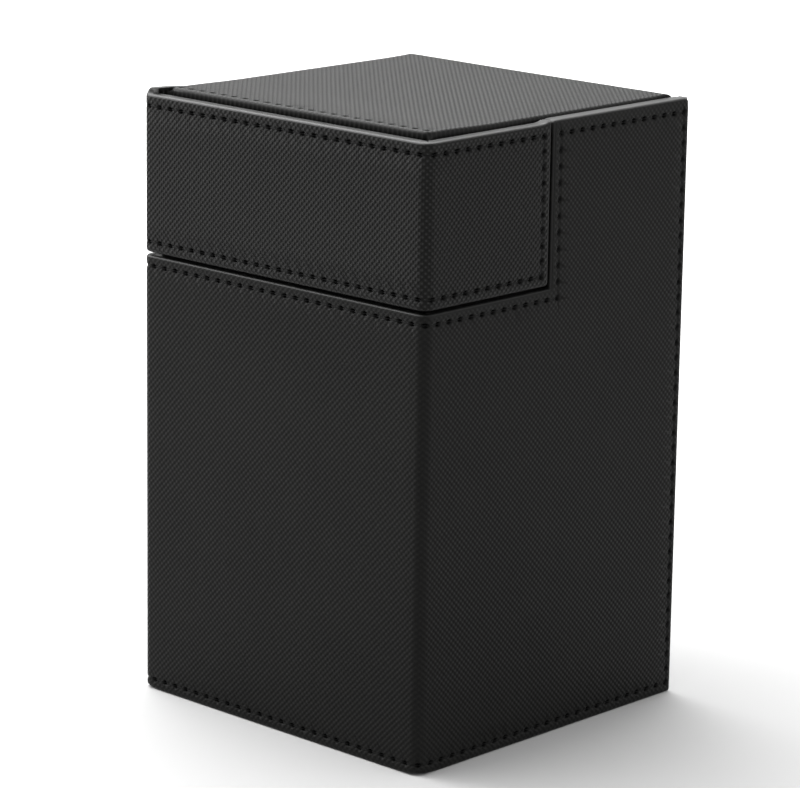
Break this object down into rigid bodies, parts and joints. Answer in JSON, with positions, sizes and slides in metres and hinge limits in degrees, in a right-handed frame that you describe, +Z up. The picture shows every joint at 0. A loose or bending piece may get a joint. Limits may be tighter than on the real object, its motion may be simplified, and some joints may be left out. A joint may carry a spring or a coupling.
{
  "type": "card deck box",
  "caption": "Upright flip-lid card deck box with a stitched leatherette shell, inset padded top, wrap-around lid band, inner collar, lined card well and lift-out accessory tray.",
  "frame": {"origin": "middle of the base, on the surface the box stands on", "axes": "+X to the right seen from the front, the front face looks along -Y, +Z up; the lid turns about an axis along X at the rear top edge"},
  "size_m": [0.088, 0.086, 0.141],
  "materials": {
    "leatherette": "cross-woven embossed matte black",
    "smooth_leatherette": "fine grain matte black",
    "greyboard": "uncoated laminated greyboard",
    "microfibre": "short napped microfibre",
    "foam": "closed cell foam sheet",
    "magnet_nickel": "nickel plated",
    "thread": "black bonded thread"
  },
  "bodies": {
    "box": {"base_cover": "smooth_leatherette", "base_board": "greyboard", "body_wrap": "leatherette", "front_board": "greyboard", "left_board": "greyboard", "right_board": "greyboard", "rear_board": "greyboard", "rear_cover": "leatherette", "hinge_strip": "leatherette", "inner_front_board": "greyboard", "inner_rear_board": "greyboard", "inner_left_board": "greyboard", "inner_right_board": "greyboard", "inner_floor_board": "greyboard", "collar_cover": "smooth_leatherette", "inner_lining": "microfibre", "floor_lining": "microfibre", "well_front_panel": "greyboard", "well_rear_panel": "greyboard", "well_left_panel": "greyboard", "well_right_panel": "greyboard", "well_lining": "microfibre", "box_magnets": "magnet_nickel", "body_stitching": "thread"},
    "lid": {"lid_front_board": "greyboard", "lid_left_board": "greyboard", "lid_right_board": "greyboard", "lid_band_wrap": "leatherette", "lid_board": "greyboard", "lid_lining": "microfibre", "top_panel_board": "greyboard", "top_pad": "foam", "top_cover": "leatherette", "lid_magnets": "magnet_nickel", "lid_stitching": "thread", "top_stitching": "thread"},
    "tray": {"tray_floor": "greyboard", "tray_front": "greyboard", "tray_rear": "greyboard", "tray_left": "greyboard", "tray_right": "greyboard", "tray_cover": "smooth_leatherette", "tray_lining": "microfibre"}
  },
  "joints": [
    {"name": "lid_hinge", "type": "hinge", "parent": "box", "child": "lid", "pos_m": [0, 0.04169, 0.13969], "axis": [-1, 0, 0], "range_deg": [0, 180], "deforming": ["hinge_strip"]},
    {"name": "tray_lift", "type": "slide", "parent": "box", "child": "tray", "axis": [0, 0, 1], "range_m": [0, 0.0045]}
  ]
}
